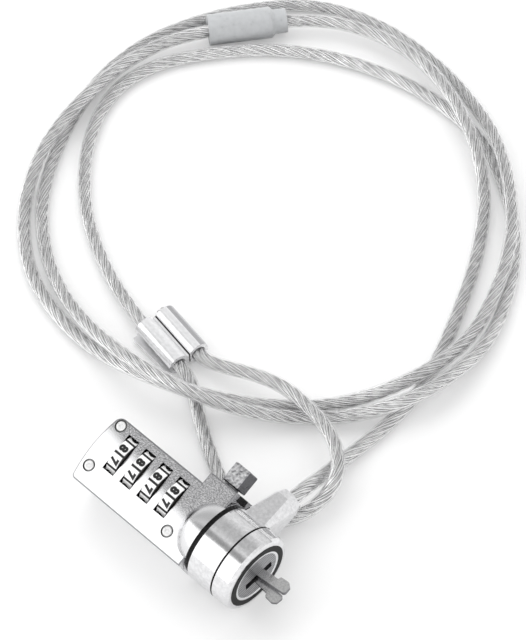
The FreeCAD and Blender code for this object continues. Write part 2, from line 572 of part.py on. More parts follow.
def hook(layer):
    """One claw. layer 1 is the upper blade, which opens away from the near side, and -1 the lower one."""
    low, high = sorted((HOOK_PARTING_Z + layer * HOOK_HALF_GAP, layer * HOOK_OUTER_Z))
    reach = HOOK_REACH - HOOK_PIVOT_X
    barb = HOOK_BARB_START - HOOK_PIVOT_X
    half = HOOK_HALF_WIDTH
    outline = [
        (0, -half), (reach, -half), (reach, half), (barb + HOOK_BARB_LENGTH, half + HOOK_BARB_HEIGHT),
        (barb, half + HOOK_BARB_HEIGHT), (barb - 0.5, half), (0, half),
    ]
    blade = prism([(x, layer * y) for x, y in outline], low, high)
    tip = [(reach, -half), (reach, half), (barb + HOOK_BARB_LENGTH, half + HOOK_BARB_HEIGHT),
           (barb, half + HOOK_BARB_HEIGHT)]
    for radius, (x, y) in zip((1.0, 0.5, 1.0, 0.6), tip):
        blade = fillet_where(blade, radius, upright_edge_at(x, layer * y))
    blade.rotate(FreeCAD.Vector(0, 0, 0), FreeCAD.Vector(0, 0, 1), layer * HOOK_OPEN_DEG)
    blade.translate(FreeCAD.Vector(HOOK_PIVOT_X, 0, 0))
    tail_x, tail_y = hook_tail_place(-layer, 0)
    run = math.hypot(tail_x - HOOK_PIVOT_X, tail_y)
    across = (-tail_y / run * HOOK_TAIL_HALF_WIDTH, (tail_x - HOOK_PIVOT_X) / run * HOOK_TAIL_HALF_WIDTH)
    tail = prism([(HOOK_PIVOT_X + across[0], across[1]), (tail_x + across[0], tail_y + across[1]),
                  (tail_x - across[0], tail_y - across[1]), (HOOK_PIVOT_X - across[0], -across[1])], low, high)
    boss = rod_z(HOOK_BOSS_RADIUS, low, high, HOOK_PIVOT_X, 0)
    tail_end = rod_z(HOOK_TAIL_HALF_WIDTH, low, high, tail_x, tail_y)
    pin_low, pin_high = sorted((layer * (HOOK_HALF_GAP + 0.4), layer * (CHEEK_INNER_Z + CHEEK_THICKNESS)))
    tail_pin = rod_z(TAIL_PIN_RADIUS, pin_low, pin_high, tail_x, tail_y)
    hole = rod_z(PIVOT_PIN_RADIUS + RUNNING_FIT, low - 1, high + 1, HOOK_PIVOT_X, 0)
    return place_with_hooks(blade.fuse([tail, boss, tail_end, tail_pin]).cut(hole).removeSplitter())


def pivot_pin(grown=0.0):
    pin = rod_z(PIVOT_PIN_RADIUS + grown, -PIVOT_PIN_HALF_LENGTH, PIVOT_PIN_HALF_LENGTH, HOOK_PIVOT_X, 0)
    return place_with_hooks(pin)


def hook_carrier():
    """The steel plug behind the disc. The hooks turn in its slot, on the pivot pin."""
    plug = rod_x(BORE_RADIUS - SEAT_FIT, CARRIER_REAR_X, CARRIER_FRONT_X)
    half = HOOK_OUTER_Z + 0.17
    slot = box(CARRIER_REAR_X - 1, CARRIER_FRONT_X + 1, -CARRIER_SLOT_HALF, CARRIER_SLOT_HALF, -half, half)
    return plug.cut([place_with_hooks(slot), pivot_pin(0.02)])


def front_disc():
    rear = -DISC_SETBACK - DISC_THICKNESS
    radius = BORE_RADIUS - SEAT_FIT
    inner = radius - DISC_RIM_WIDTH
    disc = turned_profile([
        (rear, 0), (rear, radius), (-DISC_SETBACK + DISC_RIM_HEIGHT, radius),
        (-DISC_SETBACK + DISC_RIM_HEIGHT, inner + 0.2), (-DISC_SETBACK, inner - 0.1), (-DISC_SETBACK, 0),
    ])
    half = HOOK_OUTER_Z + 0.17
    return disc.cut(place_with_hooks(box(rear - 1, 1, DISC_SLOT_NEAR, DISC_SLOT_FAR, -half, half)))


def front_ring():
    bore = SPIGOT_RADIUS + SEAT_FIT
    front = -FRONT_RING_SETBACK
    return turned_profile([
        (-FRONT_RING_LENGTH, bore), (-FRONT_RING_LENGTH, BARREL_RADIUS - RING_EDGE_CHAMFER),
        (-FRONT_RING_LENGTH + RING_EDGE_CHAMFER, BARREL_RADIUS), (front - FRONT_RING_CHAMFER, BARREL_RADIUS),
        (front - FRONT_RING_CHAMFER * 0.4, BARREL_RADIUS - 0.5), (front, BARREL_RADIUS - FRONT_RING_CHAMFER),
        (front, bore),
    ])


def rubber_ring():
    ring = tube_x(SPIGOT_RADIUS, RUBBER_INNER_RADIUS, -SPIGOT_SETBACK, 0)
    return ring


def collar_washer():
    """The black nylon washer between the housing and the swivel collar."""
    return tube_x(BARREL_RADIUS - WASHER_SINK, SPIGOT_RADIUS + RUNNING_FIT, GROOVE_REAR_X, GROOVE_FRONT_X)


# Swivel collar with the cable's lug, and what is on the cable

def lug_section(y, rear, front, half, rear_cut, front_cut):
    """An upright rectangle at one y, with its corners cut off at 45 degrees."""
    corners = [
        (rear, half - rear_cut), (rear + rear_cut, half), (front - front_cut, half), (front, half - front_cut),
        (front, front_cut - half), (front - front_cut, -half), (rear + rear_cut, -half), (rear, rear_cut - half),
    ]
    points = [FreeCAD.Vector(x, y, z) for x, z in corners]
    return Part.makePolygon(points + points[:1])


def swivel_collar():
    rear, front = GROOVE_FRONT_X + COLLAR_SIDE_GAP, -FRONT_RING_LENGTH - COLLAR_SIDE_GAP
    edge = RING_EDGE_CHAMFER
    band = turned_profile([
        (rear, 0), (rear, BARREL_RADIUS - edge), (rear + edge, BARREL_RADIUS),
        (front - edge, BARREL_RADIUS), (front, BARREL_RADIUS - edge), (front, 0),
    ])
    end = LUG_END_HALF
    nose = LUG_END_HALF * LUG_NOSE_SHARE
    lug = Part.makeLoft([
        lug_section(BARREL_RADIUS * 0.6, rear + edge, front - edge, LUG_ROOT_HALF_HEIGHT, LUG_ROOT_CUT, LUG_ROOT_CUT),
        lug_section(LUG_END_Y, LUG_X - end, LUG_X + end, end, LUG_REAR_CUT, LUG_FRONT_CUT),
        lug_section(LUG_NOSE_Y, LUG_X - nose, LUG_X + nose, nose,
                    LUG_REAR_CUT * LUG_NOSE_SHARE, LUG_FRONT_CUT * LUG_NOSE_SHARE),
    ], True, True)
    shape = band.fuse(lug).removeSplitter()
    bore = rod_x(SPIGOT_RADIUS + RUNNING_FIT, rear - 1, front + 1)
    stop_seat = rod_y(STOP_RADIUS + SEAT_FIT, 0, STOP_START_Y + STOP_LENGTH + SEAT_FIT, LUG_X)
    cable_way = rod_y(CABLE_RADIUS + SEAT_FIT, 0, LUG_NOSE_Y + 1, LUG_X)
    return shape.cut([bore, stop_seat, cable_way])


def cable_end_stop():
    stop = rod_y(STOP_RADIUS, STOP_START_Y, STOP_START_Y + STOP_LENGTH, LUG_X)
    return stop.cut(rod_y(CABLE_RADIUS + SEAT_FIT, STOP_START_Y + 0.2, STOP_START_Y + STOP_LENGTH + 1, LUG_X))


def cable_ferrule():
    """Two barrels side by side in one crimped aluminium piece. The near one is slit and has a lip along the slit."""
    z = FERRULE_RADIUS
    length = FERRULE_LENGTH
    shape = rod_x(FERRULE_RADIUS, 0, length, 0, z).fuse(rod_x(FERRULE_RADIUS, 0, length, FERRULE_SPACING, z))
    shape = shape.fuse(box(0, length, 0, FERRULE_SPACING, z - 2.0, z + 2.0))
    edge = -FERRULE_RADIUS - FERRULE_LIP
    lip = prism([(0.6, edge), (1.4, edge - 0.3), (length - 0.8, edge + 0.9), (length - 0.8, -2.9), (0.6, -2.9)],
                FERRULE_SLOT_FOOT - 0.8, FERRULE_SLOT_FOOT)
    slit = box(-1, length + 1, -FERRULE_RADIUS - 1, -1.5, FERRULE_SLOT_FOOT, FERRULE_SLOT_TOP)
    shape = shape.cut(slit).fuse(lip).removeSplitter()
    hole = CABLE_RADIUS + 0.12
    shape = shape.cut([rod_x(hole, -1, length + 1, 0, z), rod_x(hole, -1, length + 1, FERRULE_SPACING, z)])
    shape.rotate(FreeCAD.Vector(0, 0, 0), FreeCAD.Vector(0, 0, 1), FERRULE_TURN_DEG)
    shape.translate(FreeCAD.Vector(FERRULE_START[0], FERRULE_START[1], 0))
    return shape


def cable_sleeve():
    """A soft plastic tube over the cable, narrowed at one end."""
    z = SLEEVE_OUTER_RADIUS
    tube = turned_profile([
        (0, 0), (0, SLEEVE_NECK_RADIUS), (SLEEVE_NECK_LENGTH * 0.75, SLEEVE_NECK_RADIUS),
        (SLEEVE_NECK_LENGTH, SLEEVE_OUTER_RADIUS), (SLEEVE_TUBE_LENGTH, SLEEVE_OUTER_RADIUS),
        (SLEEVE_TUBE_LENGTH, 0),
    ])
    tube = tube.cut(rod_x(CABLE_RADIUS + SLEEVE_BORE_GAP, -1, SLEEVE_TUBE_LENGTH + 1))
    tube.rotate(FreeCAD.Vector(0, 0, 0), FreeCAD.Vector(0, 0, 1), SLEEVE_TURN_DEG)
    tube.translate(FreeCAD.Vector(SLEEVE_START[0], SLEEVE_START[1], z))
    return tube


def route_wire(route):
    """Straight runs joined by tangent arcs. Returns the wire and each arc's radius."""
    points = [FreeCAD.Vector(*place) for place in route]
    runs = [(b - a).Length for a, b in zip(points, points[1:])]
    edges, radii = [], []
    last = points[0]
    for number in range(1, len(points) - 1):
        corner = points[number]
        back = (points[number - 1] - corner).normalize()
        on = (points[number + 1] - corner).normalize()
        trim = ARC_SHARE * min(runs[number - 1], runs[number])
        half_turn = (math.pi - back.getAngle(on)) / 2
        radius = trim / math.tan(half_turn)
        start, end = corner + back * trim, corner + on * trim
        inwards = (back + on).normalize()
        middle = corner + inwards * (radius / math.cos(half_turn) - radius)
        edges.append(Part.LineSegment(last, start).toShape())
        edges.append(Part.Arc(start, middle, end).toShape())
        radii.append(radius)
        last = end
    edges.append(Part.LineSegment(last, points[-1]).toShape())
    return Part.Wire(edges), radii


def cable():
    wire, radii = route_wire(CABLE_ROUTE)
    start, ahead = FreeCAD.Vector(*CABLE_ROUTE[0]), FreeCAD.Vector(*CABLE_ROUTE[1])
    section = Part.Wire([Part.Circle(start, ahead - start, CABLE_RADIUS).toShape()])
    tube = wire.makePipeShell([section], True, False)
    expected = math.pi * CABLE_RADIUS ** 2 * wire.Length
    print("cable length %.0f mm, volume over section x length %.5f" % (wire.Length, tube.Volume / expected))
    print("cable radii:", " ".join("%.0f" % radius for radius in radii))
    return tube


os.makedirs("parts", exist_ok=True)

HEAD_PIECES = {
    "housing": housing(),
    "bottom_plate": bottom_plate(),
    "rivets": rivets(),
    "front_ring": front_ring(),
    "rubber_ring": rubber_ring(),
    "front_disc": front_disc(),
    "hook_carrier": hook_carrier(),
    "hook_pivot_pin": pivot_pin(),
    "collar_washer": collar_washer(),
    "slide_guide": slide_guide(),
    "slide_keeper": slide_keeper(),
    "detent_spring": detent_spring(),
    "return_spring": return_spring(),
    "slide_block": slide_block(),
    "lever_tab": lever_tab(),
    "tab_pin": tab_pin(),
    "cam_fork": cam_fork(),
    "spindle": spindle(),
    "hook_upper": hook(1),
    "hook_lower": hook(-1),
}
for number, place in enumerate(DIAL_PLACES, start=1):
    HEAD_PIECES["dial_%d" % number] = dial(place)
    HEAD_PIECES["code_sleeve_%d" % number] = code_sleeve(place)
for name, shape in HEAD_PIECES.items():
    write(name, place_in_head(shape))

write("swivel_collar", place_on_axis(swivel_collar()))
write("cable_end_stop", place_on_axis(cable_end_stop()))
write("cable_ferrule", cable_ferrule())
write("cable_sleeve", cable_sleeve())
write("cable", cable())
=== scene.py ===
import math

import bmesh
import bpy
import numpy as np
from mathutils import Matrix, Vector


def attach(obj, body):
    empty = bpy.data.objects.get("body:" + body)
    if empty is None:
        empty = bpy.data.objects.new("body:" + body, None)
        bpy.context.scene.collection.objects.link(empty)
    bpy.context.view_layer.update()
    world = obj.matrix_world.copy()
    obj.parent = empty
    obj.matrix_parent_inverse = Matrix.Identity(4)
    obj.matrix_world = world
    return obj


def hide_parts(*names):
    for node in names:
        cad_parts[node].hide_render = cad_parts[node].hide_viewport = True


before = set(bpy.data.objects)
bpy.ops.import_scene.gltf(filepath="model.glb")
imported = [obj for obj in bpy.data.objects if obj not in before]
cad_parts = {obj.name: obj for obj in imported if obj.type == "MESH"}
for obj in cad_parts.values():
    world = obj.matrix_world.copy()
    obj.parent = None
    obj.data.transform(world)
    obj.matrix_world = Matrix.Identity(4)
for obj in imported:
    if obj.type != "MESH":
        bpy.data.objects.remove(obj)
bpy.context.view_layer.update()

# Camera: the photograph was taken from high over the lock's nose corner with a long lens, so lines that run
# away from it hardly draw together.
camera = bpy.data.objects.new("camera", bpy.data.cameras.new("camera"))
bpy.context.collection.objects.link(camera)
bpy.context.scene.camera = camera
camera.data.sensor_width = 36
camera.data.lens = 146.4
camera.data.clip_start = 0.05
camera.data.clip_end = 20
camera_place = Vector((0.33217, -0.30093, 0.7360))
camera_right = Vector((0.7206, 0.6931, -0.0164))
camera_up = Vector((-0.5545, 0.5904, 0.5865))
camera_back = camera_right.cross(camera_up)
turn = Matrix((camera_right, camera_up, camera_back)).transposed().to_4x4()
camera.matrix_world = Matrix.Translation(camera_place) @ turn

# Rope: six strands laid right-handed round a core. Each strand has galvanised wires laid slowly the other way
# round a core wire of its own, so they all but follow their strand. Every other wire is coloured bright, a
# painted highlight line along the strand, and the rest dull. The cores are coloured near black, painted shade
# in the gaps.
STRAND_COUNT = 6
WIRE_COUNT = 6
CORE_RADIUS = 0.0009
CORE_SIDES = 8
STRAND_CIRCLE = 0.00156
STRAND_CORE_RADIUS = 0.0003
STRAND_CORE_SIDES = 4
WIRE_CIRCLE = 0.00052
WIRE_RADIUS = 0.00024
WIRE_SIDES = 5
ROPE_LAY = 0.028
WIRE_LAY = 0.034

# The solid cable's route in metres, with one point added inside the lug and two inside the ferrule, where the
# rope is straight
route = [
    (0.0181, 0.0123, 0.0140), (0.0181, 0.0205, 0.0140), (0.0181, 0.0274, 0.0140),
    (0.0158, 0.0420, 0.0057), (0.0154, 0.0552, 0.0026), (0.0164, 0.0702, 0.0026),
    (0.0154, 0.0862, 0.0026), (0.0109, 0.1027, 0.0026), (0.0017, 0.1244, 0.0026),
    (-0.0087, 0.1458, 0.0026), (-0.0232, 0.1667, 0.0028), (-0.0378, 0.1787, 0.0085),
    (-0.0575, 0.1902, 0.0085), (-0.0817, 0.1984, 0.0072), (-0.1066, 0.1973, 0.0056),
    (-0.1282, 0.1860, 0.0059), (-0.1572, 0.1477, 0.0059), (-0.1631, 0.1242, 0.0062),
    (-0.1605, 0.1020, 0.0087), (-0.1575, 0.0843, 0.0087), (-0.1530, 0.0681, 0.0064),
    (-0.1419, 0.0494, 0.0026), (-0.1214, 0.0328, 0.0026), (-0.1007, 0.0258, 0.0026),
    (-0.0790, 0.0239, 0.0028), (-0.0546, 0.0261, 0.0090), (-0.0357, 0.0331, 0.00915),
    (-0.0214, 0.0449, 0.0046), (-0.0085, 0.0570, 0.0026), (0.0015, 0.0691, 0.0037),
    (0.0106, 0.0813, 0.0089), (0.0149, 0.0982, 0.0086), (0.0138, 0.1173, 0.0050),
    (0.0081, 0.1364, 0.0065), (-0.0017, 0.1561, 0.0086), (-0.0176, 0.1735, 0.0086),
    (-0.0385, 0.1895, 0.0072), (-0.0640, 0.2005, 0.0026), (-0.0855, 0.2040, 0.0026),
    (-0.1096, 0.2035, 0.0026), (-0.1338, 0.1946, 0.0026), (-0.1502, 0.1760, 0.0026),
    (-0.1617, 0.1550, 0.0026), (-0.1677, 0.1329, 0.0026), (-0.1663, 0.1088, 0.0026),
    (-0.1563, 0.0820, 0.0026), (-0.1405, 0.0570, 0.0026), (-0.1184, 0.0392, 0.0026),
    (-0.0918, 0.0288, 0.0056), (-0.0608, 0.0244, 0.0143), (-0.0362, 0.0289, 0.0143),
    (-0.0191, 0.0399, 0.0078), (-0.0052, 0.0529, 0.0040), (0.0071, 0.0655, 0.0047),
    (0.0169, 0.0786, 0.0089), (0.0212, 0.0951, 0.0087), (0.0197, 0.1188, 0.0034),
    (0.0096, 0.1424, 0.0026), (-0.0051, 0.1627, 0.0026), (-0.0225, 0.1764, 0.0026),
    (-0.0413, 0.1867, 0.0026), (-0.0608, 0.1898, 0.0026), (-0.0835, 0.1886, 0.0026),
    (-0.1078, 0.1809, 0.0026), (-0.1285, 0.1679, 0.0026), (-0.1444, 0.1505, 0.0026),
    (-0.1563, 0.1320, 0.0026), (-0.1589, 0.1108, 0.0026), (-0.1484, 0.0882, 0.0026),
    (-0.1291, 0.0677, 0.0026), (-0.1111, 0.0565, 0.0026), (-0.0946, 0.0493, 0.0030),
    (-0.0776, 0.0440, 0.0041), (-0.0611, 0.04115, 0.0041), (-0.0446, 0.0383, 0.0041),
    (-0.0316, 0.0287, 0.0026), (-0.0166, 0.0201, 0.0026), (-0.0021, 0.0129, 0.0026),
    (0.0071, 0.0126, 0.0026), (0.0150, 0.0170, 0.0026), (0.0199, 0.0247, 0.0033),
    (0.0222, 0.0314, 0.0060), (0.0222, 0.0380, 0.0093), (0.0195, 0.0430, 0.0114),
    (0.0150, 0.0472, 0.0124), (0.0080, 0.0506, 0.0125), (-0.0016, 0.0535, 0.0112),
    (-0.0138, 0.0553, 0.0095), (-0.0257, 0.0539, 0.0080), (-0.0455, 0.0467, 0.0041),
    (-0.0520, 0.0478, 0.0041), (-0.0723, 0.0513, 0.0041),
]


def route_curve(name, radius):
    """A smooth curve along the route, as a round tube of a radius or as a bare line."""
    curve = bpy.data.curves.new(name, "CURVE")
    curve.dimensions = "3D"
    curve.resolution_u = 10
    curve.bevel_depth = radius
    curve.bevel_resolution = 4
    curve.use_fill_caps = True
    spline = curve.splines.new("NURBS")
    spline.points.add(len(route) - 1)
    for point, place in zip(spline.points, route):
        point.co = (*place, 1)
    spline.order_u = 3
    spline.use_endpoint_u = True
    curve_object = bpy.data.objects.new(name, curve)
    bpy.context.collection.objects.link(curve_object)
    return curve_object


def unit(directions):
    """Directions, one in a row, made one long."""
    return directions / np.linalg.norm(directions, axis=1)[:, None]


def turned(first, second, angles):
    """Directions turned from a first one towards a second by an angle at each place."""
    return np.cos(angles)[:, None] * first + np.sin(angles)[:, None] * second


def centre_line(step):
    """Evenly spaced points along the route's own curve, with the sides they carry without twisting."""
    bare = route_curve("route_line", 0)
    line = bpy.data.meshes.new_from_object(bare.evaluated_get(bpy.context.evaluated_depsgraph_get()))
    points = np.array([vertex.co for vertex in line.vertices])
    bpy.data.objects.remove(bare)
    along = np.concatenate([[0], np.cumsum(np.linalg.norm(np.diff(points, axis=0), axis=1))])
    places = np.linspace(0, along[-1], int(along[-1] / step) + 1)
    centres = np.stack([np.interp(places, along, points[:, axis]) for axis in range(3)], axis=1)
    tangents = unit(np.gradient(centres, axis=0))
    side = np.cross(tangents[0], (0.0, 0.0, 1.0))
    sides = []
    for tangent in tangents:
        side = side - tangent * side.dot(tangent)
        side = side / np.linalg.norm(side)
        sides.append(side)
    return places, centres, np.array(sides), np.cross(tangents, sides)


def wire_rings(line, radius, side_count, strand_angle=0, strand_circle=0, wire_angle=0, wire_circle=0):
    """Rings of one wire, which winds round its strand while the strand winds round the rope."""
    places, centres, sides, ups = line
    outward = turned(sides, ups, strand_angle + places * 2 * math.pi / ROPE_LAY)
    strand = centres + outward * strand_circle
    across = unit(np.cross(np.gradient(strand, axis=0), outward))
    from_strand = turned(outward, across, wire_angle - places * 2 * math.pi / WIRE_LAY)
    middles = strand + from_strand * wire_circle
    ahead = unit(np.gradient(middles, axis=0))
    across = unit(np.cross(ahead, from_strand))
    upright = np.cross(across, ahead)
    rings = []
    for number in range(side_count):
        angle = 2 * math.pi * number / side_count
        rings.append(middles + radius * (math.cos(angle) * upright + math.sin(angle) * across))
    return np.stack(rings, axis=1)


def tubes_mesh(name, tubes, materials):
    """One mesh of closed tubes, each given as its rings of points, that take the materials in turn."""
    points = []
    faces = []
    chosen = []
    for tube_number, rings in enumerate(tubes):
        base = len(points)
        ring_count, side_count = rings.shape[:2]
        points.extend(rings.reshape(-1, 3).tolist())
        last = base + (ring_count - 1) * side_count
        here = np.arange(base, last, side_count)
        beyond = here + side_count
        for number in range(side_count):
            after = (number + 1) % side_count
            corners = [here + number, here + after, beyond + after, beyond + number]
            faces.extend(np.stack(corners, axis=1).tolist())
        faces.append([base + number for number in reversed(range(side_count))])
        faces.append([last + number for number in range(side_count)])
        chosen.extend([tube_number % len(materials)] * (len(faces) - len(chosen)))
    mesh = bpy.data.meshes.new(name)
    mesh.from_pydata(points, [], faces)
    for material in materials:
        mesh.materials.append(material)
    mesh.polygons.foreach_set("material_index", chosen)
    mesh.shade_smooth()
    made = bpy.data.objects.new(name, mesh)
    bpy.context.collection.objects.link(made)
    return made


def start_material(name):
    """A new material, with its node tree and its shader."""
    material = bpy.data.materials.new(name)
    material.use_nodes = True
    return material, material.node_tree, material.node_tree.nodes["Principled BSDF"]


def noise_on(tree, scale, detail=2):
    """Noise that lies still on the piece, as a value from 0 to 1."""
    place = tree.nodes.new("ShaderNodeTexCoord")
    noise = tree.nodes.new("ShaderNodeTexNoise")
    noise.inputs["Scale"].default_value = scale
    noise.inputs["Detail"].default_value = detail
    tree.links.new(place.outputs["Object"], noise.inputs["Vector"])
    return noise.outputs["Fac"]


def rescaled(tree, value, low, high, start=0, end=1):
    """A value that goes from low to high as another goes from start to end."""
    scale = tree.nodes.new("ShaderNodeMapRange")
    scale.inputs["From Min"].default_value = start
    scale.inputs["From Max"].default_value = end
    scale.inputs["To Min"].default_value = low
    scale.inputs["To Max"].default_value = high
    tree.links.new(value, scale.inputs["Value"])
    return scale.outputs["Result"]


def shaded(tree, value, dark, light, start=0, end=1):
    """A colour that goes from dark to light as a value goes from start to end."""
    ramp = tree.nodes.new("ShaderNodeValToRGB")
    ramp.color_ramp.elements[0].position = start
    ramp.color_ramp.elements[1].position = end
    ramp.color_ramp.elements[0].color = (*dark, 1)
    ramp.color_ramp.elements[1].color = (*light, 1)
    tree.links.new(value, ramp.inputs["Fac"])
    return ramp.outputs["Color"]


def bumped(tree, shader, height, strength, depth):
    """Lifts the surface where a height is 1, by a depth in metres."""
    bump = tree.nodes.new("ShaderNodeBump")
    bump.inputs["Strength"].default_value = strength
    bump.inputs["Distance"].default_value = depth
    tree.links.new(height, bump.inputs["Height"])
    tree.links.new(bump.outputs["Normal"], shader.inputs["Normal"])
    return bump


def galvanised_wire(name, dark, light):
    """Drawn wire: a metal whose zinc bloom changes slowly from a dark grey to a light one along it."""
    wire, tree, shader = start_material(name)
    shader.inputs["Metallic"].default_value = 1
    bloom = noise_on(tree, scale=260)
    wire_shade = shaded(tree, bloom, (dark, dark, dark), (light, light, light), start=0.38, end=0.62)
    tree.links.new(wire_shade, shader.inputs["Base Color"])
    tree.links.new(rescaled(tree, bloom, low=0.2, high=0.3), shader.inputs["Roughness"])
    bumped(tree, shader, bloom, strength=0.15, depth=0.00004)
    return wire


# Every other wire is a bright copy of the dull one: a painted highlight line along each strand.
painted_highlight_wire = galvanised_wire("galvanised_wire_painted_highlight", 0.92, 0.99)
dull_wire = galvanised_wire("galvanised_wire_dull", 0.66, 0.86)

# The cores' near black colour is painted shade in the gaps between the strands and between the wires.
painted_shade_core_wire, tree, shader = start_material("core_wire_painted_shade")
shader.inputs["Metallic"].default_value = 0.6
shader.inputs["Roughness"].default_value = 0.5
core_shade_colour = shaded(tree, noise_on(tree, scale=700), dark=(0.08, 0.08, 0.08), light=(0.22, 0.22, 0.22))
tree.links.new(core_shade_colour, shader.inputs["Base Color"])

strand_materials = [painted_shade_core_wire] + [painted_highlight_wire, dull_wire] * (WIRE_COUNT // 2)
fine_line = centre_line(step=0.001)
coarse_line = centre_line(step=0.002)
core = wire_rings(coarse_line, CORE_RADIUS, CORE_SIDES)
rope_pieces = [tubes_mesh("cable_core", [core], [painted_shade_core_wire])]
for strand in range(STRAND_COUNT):
    strand_angle = 2 * math.pi * strand / STRAND_COUNT
    tubes = [wire_rings(fine_line, STRAND_CORE_RADIUS, STRAND_CORE_SIDES, strand_angle, STRAND_CIRCLE)]
    for number in range(WIRE_COUNT):
        wire_angle = 2 * math.pi * number / WIRE_COUNT
        tubes.append(wire_rings(fine_line, WIRE_RADIUS, WIRE_SIDES, strand_angle, STRAND_CIRCLE, wire_angle,
                                WIRE_CIRCLE))
    rope_pieces.append(tubes_mesh("cable_strand_%d" % (strand + 1), tubes, strand_materials))
for piece in rope_pieces:
    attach(piece, "cable_set")

# Cable coat: clear vinyl drawn over the wire rope, 5.2 mm across. It hardly hides the wires and looks hazy
# only where it is seen edge on. Its inner side isn't shown, so the wires are seen through one skin.
COAT_RADIUS = 0.0026


def combine(tree, operation, *values):
    """One step of arithmetic on values, each of them a number or what another step gives."""
    step = tree.nodes.new("ShaderNodeMath")
    step.operation = operation
    for socket, value in zip(step.inputs, values):
        if isinstance(value, (int, float)):
            socket.default_value = value
        else:
            tree.links.new(value, socket)
    return step.outputs[0]


def layered(tree, share, under, over):
    """Shows one shader over another by a share."""
    layers = tree.nodes.new("ShaderNodeMixShader")
    tree.links.new(share, layers.inputs["Fac"])
    tree.links.new(under, layers.inputs[1])
    tree.links.new(over, layers.inputs[2])
    tree.links.new(layers.outputs["Shader"], tree.nodes["Material Output"].inputs["Surface"])


vinyl, tree, shader = start_material("clear_vinyl_coat")
shader.inputs["Base Color"].default_value = (0.78, 0.78, 0.79, 1)
shader.inputs["Roughness"].default_value = 0.2
bumped(tree, shader, noise_on(tree, scale=500), strength=0.25, depth=0.0001)
clear = tree.nodes.new("ShaderNodeBsdfTransparent")
clear.inputs["Color"].default_value = (0.98, 0.98, 0.98, 1)
edge_on = tree.nodes.new("ShaderNodeLayerWeight")
edge_on.inputs["Blend"].default_value = 0.5
haze = rescaled(tree, edge_on.outputs["Facing"], low=0.10, high=0.5, start=0.35)
side = tree.nodes.new("ShaderNodeNewGeometry")
is_outside = combine(tree, "SUBTRACT", 1, side.outputs["Backfacing"])
layered(tree, combine(tree, "MULTIPLY", haze, is_outside), clear.outputs["BSDF"], shader.outputs["BSDF"])

cable_coat = route_curve("cable_vinyl_coat", COAT_RADIUS)
cable_coat.data.materials.append(vinyl)
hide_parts("cable")
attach(cable_coat, "cable_set")


# Sleeve on the rope: soft milky vinyl tube, pushed on before the loop was made and necked at one end, where
# it was shrunk to stay in place.


def cover(node, material):
    """Puts a material in a CAD piece's own slot."""
    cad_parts[node].data.materials[0] = material


def grain(tree, shader, size, depth, dark, light, roughness):
    """Grain of a size: fine noise in the surface's height, its roughness and its shade."""
    fine = noise_on(tree, scale=1 / size, detail=3)
    bump = bumped(tree, shader, fine, 0.6, depth)
    tree.links.new(rescaled(tree, fine, roughness * 0.75, roughness * 1.25), shader.inputs["Roughness"])
    mottled = shaded(tree, fine, dark, light, start=0.35, end=0.65)
    tree.links.new(mottled, shader.inputs["Base Color"])
    return mottled, bump


milky, tree, shader = start_material("milky_vinyl")
grain(tree, shader, size=0.002, depth=0.00004, dark=(0.46, 0.47, 0.48),
      light=(0.50, 0.51, 0.52), roughness=0.3)
shader.inputs["Subsurface Weight"].default_value = 0.2
shader.inputs["Subsurface Radius"].default_value = (0.002, 0.002, 0.002)
cover("cable_sleeve", milky)

# Ferrule: drawn aluminium double tube, crimped over both ropes. Its far flank is painted a darker grey,
# painted shade, and a thin near black line of painted shade runs along the valley between the two barrels.
FERRULE_ACROSS = (0.17, 0.985, 0)
VALLEY_MIDDLE = 0.0346
VALLEY_HALF_WIDTH = 0.00025
SHADED_FLANK_START = 0.0388


def distance_along(tree, place, direction, start=(0, 0, 0)):
    """How far each place lies beyond a start along a direction."""
    dot = tree.nodes.new("ShaderNodeVectorMath")
    dot.operation = "DOT_PRODUCT"
    dot.inputs[1].default_value = direction
    tree.links.new(place, dot.inputs[0])
    return combine(tree, "SUBTRACT", dot.outputs["Value"], Vector(start).dot(direction))


def within(tree, value, low, high):
    """1 where a value lies between two bounds, and 0 elsewhere."""
    return combine(tree, "MULTIPLY", combine(tree, "GREATER_THAN", value, low),
                   combine(tree, "LESS_THAN", value, high))


def blend(tree, share, first, second):
    """A colour between two, each of them a plain colour or what another step gives."""
    mix = tree.nodes.new("ShaderNodeMix")
    mix.data_type = "RGBA"
    tree.links.new(share, mix.inputs["Factor"])
    for name, colour in (("A", first), ("B", second)):
        if isinstance(colour, tuple):
            mix.inputs[name].default_value = (*colour, 1)
        else:
            tree.links.new(colour, mix.inputs[name])
    return mix.outputs["Result"]


aluminium, tree, shader = start_material("crimped_aluminium")
shader.inputs["Metallic"].default_value = 0.6
mottled, _ = grain(tree, shader, size=0.0012, depth=0.00005, dark=(0.84, 0.84, 0.85),
                   light=(0.93, 0.93, 0.94), roughness=0.24)
place = tree.nodes.new("ShaderNodeTexCoord")
over = distance_along(tree, place.outputs["Object"], FERRULE_ACROSS)
facing_far = distance_along(tree, place.outputs["Normal"], FERRULE_ACROSS)
# The far flank is painted a darker grey: painted shade.
is_shaded_flank = combine(tree, "MULTIPLY", combine(tree, "GREATER_THAN", over, SHADED_FLANK_START),
                   combine(tree, "GREATER_THAN", facing_far, 0.25))
# A thin near black line along the valley between the barrels: painted shade.
in_shaded_valley = within(tree, over, VALLEY_MIDDLE - VALLEY_HALF_WIDTH, VALLEY_MIDDLE + VALLEY_HALF_WIDTH)
flank_with_shade = blend(tree, is_shaded_flank, mottled, (0.42, 0.42, 0.43))
tree.links.new(blend(tree, in_shaded_valley, flank_with_shade, (0.04, 0.04, 0.04)), shader.inputs["Base Color"])
cover("cable_ferrule", aluminium)
